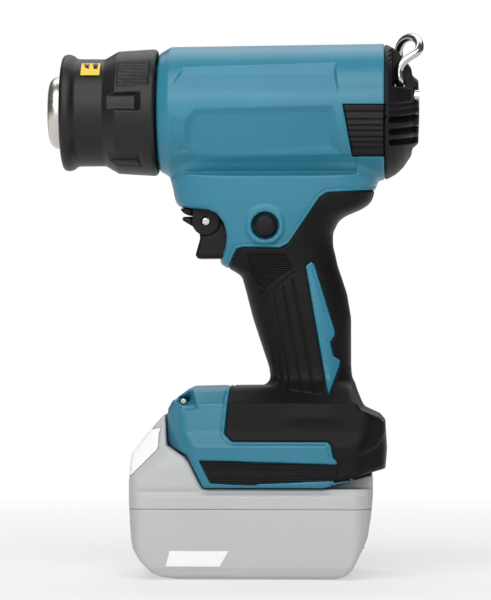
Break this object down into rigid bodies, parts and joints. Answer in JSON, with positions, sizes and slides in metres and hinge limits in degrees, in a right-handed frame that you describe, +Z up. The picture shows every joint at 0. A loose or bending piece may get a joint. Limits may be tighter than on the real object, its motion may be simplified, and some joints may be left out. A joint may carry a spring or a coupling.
{
  "type": "cordless heat gun",
  "caption": "Pistol-grip heat gun with a short steel nozzle in a black shield, a round motor barrel, trigger, hanging hook and slide-on battery pack.",
  "frame": {"origin": "bottom centre of the bounding box, on the surface that the battery stands on", "axes": "+Z up from the battery to the barrel, -X the way the nozzle points, +Y across the tool"},
  "size_m": [0.1759, 0.079, 0.2543],
  "materials": {
    "teal_housing": "fine moulded texture, half matt",
    "black_grip": "soft matt overmould with fine ribs",
    "black_plastic": "glass-filled nylon, fine moulded texture",
    "nozzle_steel": "turned stainless steel",
    "chrome_wire": "polished plated wire",
    "plated_steel": "zinc plated",
    "yellow_label": "printed film, plain stripes",
    "mica": "layered mica sheet",
    "heat_wire": "oxidised resistance wire",
    "ceramic": "unglazed ceramic",
    "circuit_board": "coated circuit board",
    "brass": "stamped contact blades",
    "battery_grey": "pale grey moulded plastic",
    "battery_white": "white moulded plastic",
    "cell_wrap": "shrink-wrapped cells"
  },
  "bodies": {
    "housing": {"housing_left": "teal_housing", "housing_right": "teal_housing", "grip_left": "black_grip", "grip_right": "black_grip", "inlet_grille_left": "black_plastic", "inlet_grille_right": "black_plastic", "foot_insert_left": "black_plastic", "foot_insert_right": "black_plastic", "rear_cover": "black_plastic", "rear_screw_left": "plated_steel", "rear_screw_right": "plated_steel", "housing_screw_1": "plated_steel", "housing_screw_2": "plated_steel", "housing_screw_3": "plated_steel", "housing_screw_4": "plated_steel", "housing_screw_5": "plated_steel", "housing_screw_6": "plated_steel", "housing_screw_7": "plated_steel", "housing_screw_8": "plated_steel", "nozzle_tube": "nozzle_steel", "shield_collar": "plated_steel", "heater_sleeve": "mica", "heater_former": "mica", "heater_coil": "heat_wire", "heater_base": "ceramic", "thermal_cutoff": "plated_steel", "air_guide": "black_plastic", "motor": "plated_steel", "motor_mount": "black_plastic", "trigger_bracket": "black_plastic", "trigger_pin": "plated_steel", "trigger_spring": "plated_steel", "switch_body": "black_plastic", "control_board": "circuit_board", "terminal_block": "black_plastic", "terminal_plus": "brass", "terminal_minus": "brass"},
    "shield": {"nozzle_shield": "black_plastic", "caution_label": "yellow_label"},
    "fan": {"motor_shaft": "plated_steel", "impeller": "black_plastic"},
    "hook": {"hook": "chrome_wire"},
    "trigger": {"trigger": "black_plastic"},
    "plunger": {"switch_plunger": "ceramic"},
    "lock": {"lock_button": "black_plastic"},
    "battery": {"battery_case_lower": "battery_grey", "battery_case_upper": "battery_grey", "battery_cells": "cell_wrap", "battery_board": "circuit_board", "latch_spring": "plated_steel", "battery_screw_1": "plated_steel", "battery_screw_2": "plated_steel", "battery_screw_3": "plated_steel", "battery_screw_4": "plated_steel"},
    "latch": {"battery_latch": "battery_white"}
  },
  "joints": [
    {"name": "shield_twist", "type": "hinge", "parent": "housing", "child": "shield", "pos_m": [-0.06, 0, 0.217], "axis": [1, 0, 0], "range_deg": [0, 25]},
    {"name": "fan_spin", "type": "hinge", "parent": "housing", "child": "fan", "pos_m": [0.045, 0, 0.217], "axis": [1, 0, 0], "continuous": true},
    {"name": "hook_fold", "type": "hinge", "parent": "housing", "child": "hook", "pos_m": [0.0767, 0, 0.2295], "axis": [0, 1, 0], "range_deg": [0, 70]},
    {"name": "trigger_pull", "type": "hinge", "parent": "housing", "child": "trigger", "pos_m": [-0.0138, 0, 0.1655], "axis": [0, -1, 0], "range_deg": [0, 15], "stiffness_Nm_per_rad": 0.3, "springref_deg": -17.19, "deforming": ["trigger_spring"]},
    {"name": "plunger_slide", "type": "slide", "parent": "housing", "child": "plunger", "axis": [1, 0, 0], "range_m": [0, 0.0035]},
    {"name": "lock_slide", "type": "slide", "parent": "housing", "child": "lock", "axis": [0, 1, 0], "range_m": [0, 0.004]},
    {"name": "battery_slide", "type": "slide", "parent": "housing", "child": "battery", "axis": [-1, 0, 0], "range_m": [0, 0.09]},
    {"name": "latch_press", "type": "slide", "parent": "battery", "child": "latch", "axis": [0, 0, -1], "range_m": [0, 0.004], "stiffness_N_per_m": 600, "springref_m": -0.003, "deforming": ["latch_spring"]}
  ],
  "couplings": [
    {"joint": "plunger_slide", "follows": "trigger_pull", "m_per_rad": 0.0125}
  ]
}
